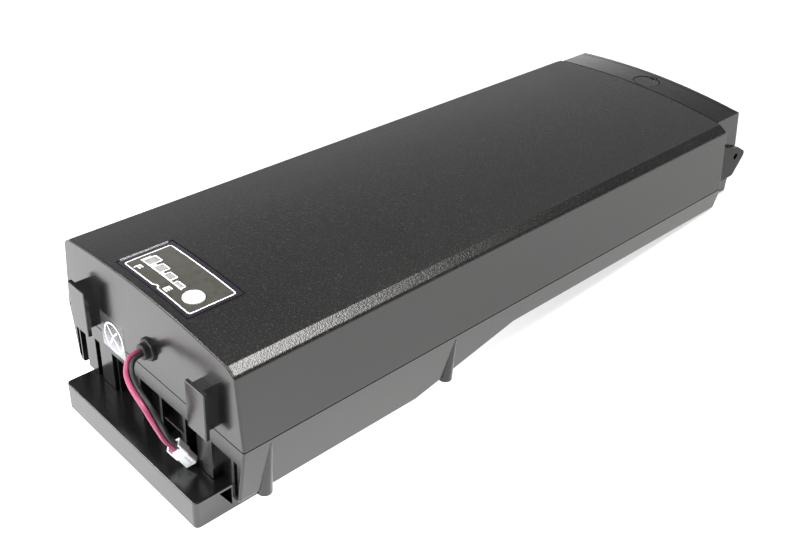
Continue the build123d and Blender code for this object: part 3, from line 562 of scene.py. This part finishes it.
def label_border():
    """White border line with a small notch in its front side."""
    mesh = ([], [])
    r = BORDER_ROUND
    left, right, front, rear = BORDER_LEFT, BORDER_RIGHT, BORDER_FRONT, BORDER_REAR
    notch = [(x, front + depth) for x, depth in NOTCH]
    path = arc(left + r, front + r, r, 180, 270)
    path += run((left + r, front), notch[0])[1:]
    path += notch
    path += run(notch[-1], (right - r, front))[1:]
    path += arc(right - r, front + r, r, 270, 360)
    path += arc(right - r, rear - r, r, 0, 90)
    path += run((right - r, rear), (left + r, rear))[1:]
    path += arc(left + r, rear - r, r, 90, 180)
    add_line(mesh, path, BORDER_LINE, on_label, closed=True)
    mark_piece("label_border", mesh)


WINDOW_XS = (-16.8, -9.05, -1.3, 6.45)
WINDOW_REARS = (19.5, 18.2, 16.9, 15.6)
WINDOW_FRONT = 13.9
WINDOW_HALF = 2.35
FRAME = 0.65                 # width of the white line round each window
MARGIN = 0.1                 # gap from a window to the lines before and behind it
TOP_PAST = 0.35              # how far the line behind a window runs past its sides
BAR_PAST_LEFT, BAR_PAST_RIGHT = 1.6, 1.2
BLOCK_DROP = 1.9             # a block between windows ends this far before the next one's rear
END_BLOCK_WIDTH = 0.8
END_BLOCK_GAP = 0.4
END_BLOCK_DROP = 1.2


def label_scale():
    """Stepped white bar round the four light windows."""
    mesh = ([], [])
    first, last = WINDOW_XS[0] - WINDOW_HALF, WINDOW_XS[-1] + WINDOW_HALF
    front = WINDOW_FRONT - MARGIN
    y = WINDOW_FRONT - FRAME / 2 - MARGIN
    bar_start, bar_end = (first - BAR_PAST_LEFT, y), (last + BAR_PAST_RIGHT, y)
    add_line(mesh, run(bar_start, bar_end, step=2.0) + [bar_end], FRAME, on_label)
    for x, rear in zip(WINDOW_XS, WINDOW_REARS):
        for side in (-1, 1):
            edge = x + side * (WINDOW_HALF + FRAME / 2)
            add_line(mesh, [(edge, front), (edge, rear + 2 * MARGIN)], FRAME, on_label)
        top = rear + MARGIN + FRAME / 2
        top_start = (x - WINDOW_HALF - TOP_PAST, top)
        top_end = (x + WINDOW_HALF + TOP_PAST, top)
        add_line(mesh, run(top_start, top_end, step=1.5) + [top_end], FRAME, on_label)
    for x, following, rear in zip(WINDOW_XS, WINDOW_XS[1:], WINDOW_REARS[1:]):
        start, end = x + WINDOW_HALF + FRAME, following - WINDOW_HALF - FRAME
        middle = (start + end) / 2
        add_line(mesh, [(middle, front), (middle, rear - BLOCK_DROP)], end - start, on_label)
    x = first - FRAME - END_BLOCK_GAP
    end_block = [(x, front), (x, WINDOW_REARS[0] - END_BLOCK_DROP)]
    add_line(mesh, end_block, END_BLOCK_WIDTH, on_label)
    mark_piece("label_scale", mesh)


LETTER_STROKE = 0.75
LETTER_HEIGHT = 3.3
LETTER_WIDTH = 2.6
# Foot of the stem, and the heights of the bars over it.
LETTER_F = ((-17.2, 7.7), (1.55, 2.93))
LETTER_E = ((4.7, 7.8), (0.37, 1.65, 2.93))


def label_letters():
    """F for full and E for empty."""
    mesh = ([], [])
    for (x, y), bars in (LETTER_F, LETTER_E):
        add_line(mesh, [(x, y), (x, y + LETTER_HEIGHT)], LETTER_STROKE, on_label)
        for bar in bars:
            add_line(mesh, [(x, y + bar), (x + LETTER_WIDTH, y + bar)], LETTER_STROKE, on_label)
    mark_piece("label_letters", mesh)


RING_X, RING_Z, RING_RADIUS = -27.7, 2.0, 7.5
RING_LINE = 0.95
SLASH_LINE = 0.8
TOOL = ((3.6, 4.6), (-0.4, 0.6), (-3.0, -4.4))               # from the ring's middle
TOOL_LINE = 0.9


def sticker_mark():
    """Plain prohibition ring: a circle, a slash and a small hand tool shape."""
    mesh = ([], [])
    x, z = RING_X, RING_Z
    ring = arc(x, z, RING_RADIUS, 0, 360, steps=48)[:-1]
    add_line(mesh, ring, RING_LINE, on_sticker, closed=True)
    reach = RING_RADIUS * math.sin(math.radians(45))
    add_line(mesh, [(x - reach, z + reach), (x + reach, z - reach)], SLASH_LINE, on_sticker)
    tool = [(x + right, z + up) for right, up in TOOL]
    add_line(mesh, tool, TOOL_LINE, on_sticker)
    mark_piece("sticker_mark", mesh)


label_border()
label_scale()
label_letters()
sticker_mark()


# ---------------------------------------------------------------- floor and light
FLOOR_FRONT = (0, 22.0, -SEAM_Z)             # the foot's rear edge
FLOOR_REAR = (0, 350.0, -14.5)               # the shell's rear edge
FLOOR_GAP = 0.3 * MM
FLOOR_SIZE = 8.0                             # metres
# The floor's own places are in metres from the foot's rear edge.
GLOW_FRONT, GLOW_REAR = 1.75, 0.95           # how bright the floor is before and behind the pack
GLOW_FROM_Y, GLOW_TO_Y = -0.20, 0.50
SHADE = 0.42                                 # share of the glow lost round the rear half, a painted shadow of the pack
SHADE_FULL_X, SHADE_END_X = 0.06, 0.26
SHADE_FROM_Y, SHADE_FULL_Y = 0.0, 0.22


def make_floor():
    """Pale glowing floor that touches the foot's rear edge and the shell's rear edge."""
    front = at(*FLOOR_FRONT)
    rear = at(*FLOOR_REAR)
    slope = math.atan2(rear.z - front.z, rear.y - front.y)
    bpy.ops.mesh.primitive_plane_add(size=FLOOR_SIZE)
    floor = bpy.context.object
    floor.name = "floor"
    floor.rotation_euler = (slope, 0, 0)
    floor.location = front - Vector((0, 0, FLOOR_GAP))
    s = Shader("floor_paper")
    fibre = s.noise(40.0, detail=4.0)
    glow = s.span(s.axis("Y"), GLOW_FROM_Y, GLOW_TO_Y, GLOW_FRONT, GLOW_REAR)
    beside = s.span(s.axis("X"), SHADE_FULL_X, SHADE_END_X, 1.0, 0.0, smooth=True)
    rearward = s.span(s.axis("Y"), SHADE_FROM_Y, SHADE_FULL_Y, smooth=True)
    shade = s.math("MULTIPLY", s.math("MULTIPLY", beside, rearward), SHADE)
    glow = s.math("MULTIPLY", glow, s.math("SUBTRACT", 1.0, shade))
    s.surface(Base_Color=s.mix(fibre, grey(0.34), grey(0.38)), Roughness=0.8,
              Emission_Color=grey(1.0), Emission_Strength=glow,
              Normal=s.bump(fibre, strength=0.1, distance=0.0002))
    floor.data.materials.append(s.material)


# Brightness of the light tent by height: 0 at the horizon and below, 1 overhead.
SKY_STOPS = ((0.0, 1.9), (0.22, 1.6), (0.30, 0.78), (0.40, 0.36), (0.52, 0.18), (0.70, 0.12),
             (1.0, 0.4))
SKY_BLUE = 1.02
SKY_LEFT, SKY_RIGHT = (-0.35, 1.0), (0.20, 0.3)              # direction, and strength there


def make_sky():
    """Light tent: bright low walls, a dark band, and a paler panel overhead."""
    world = bpy.data.worlds.new("tent")
    bpy.context.scene.world = world
    world.use_nodes = True
    tree = world.node_tree
    background = tree.nodes["Background"]
    place = tree.nodes.new("ShaderNodeTexCoord")
    split = tree.nodes.new("ShaderNodeSeparateXYZ")
    ramp = tree.nodes.new("ShaderNodeValToRGB")
    tree.links.new(place.outputs["Generated"], split.inputs[0])
    tree.links.new(split.outputs["Z"], ramp.inputs["Fac"])
    tree.links.new(ramp.outputs["Color"], background.inputs["Color"])
    side = tree.nodes.new("ShaderNodeMapRange")
    for name, value in zip(("From Min", "To Min", "From Max", "To Max"), SKY_LEFT + SKY_RIGHT):
        side.inputs[name].default_value = value
    tree.links.new(split.outputs["X"], side.inputs["Value"])
    tree.links.new(side.outputs["Result"], background.inputs["Strength"])
    while len(ramp.color_ramp.elements) < len(SKY_STOPS):
        ramp.color_ramp.elements.new(0.5)
    for element, (height, value) in zip(ramp.color_ramp.elements, SKY_STOPS):
        element.position = height
        element.color = rgb(value, value, value * SKY_BLUE)


def area_light(name, place, target, size, power, colour=(1, 1, 1)):
    """Square soft light aimed at a point, in metres and watts."""
    data = bpy.data.lights.new(name, "AREA")
    data.shape = "SQUARE"
    data.size = size
    data.energy = power
    data.color = colour
    light = bpy.data.objects.new(name, data)
    bpy.context.scene.collection.objects.link(light)
    light.location = place
    light.rotation_mode = "QUATERNION"
    aim = Vector(target) - Vector(place)
    light.rotation_quaternion = aim.to_track_quat("-Z", "Y")


FRONT_FACE = (0.0, -0.18, 0.03)

make_floor()
make_sky()
area_light("key", (0.31, 0.22, 1.08), target=(0.04, -0.16, 0.08), size=0.38, power=17.0,
           colour=(1.0, 0.985, 0.95))
area_light("front_fill", (0.05, -0.95, 0.80), target=FRONT_FACE, size=0.60, power=11.0)
area_light("rim", (-0.62, -0.80, 0.62), target=FRONT_FACE, size=0.34, power=7.0)
bpy.context.scene.view_settings.view_transform = "Standard"
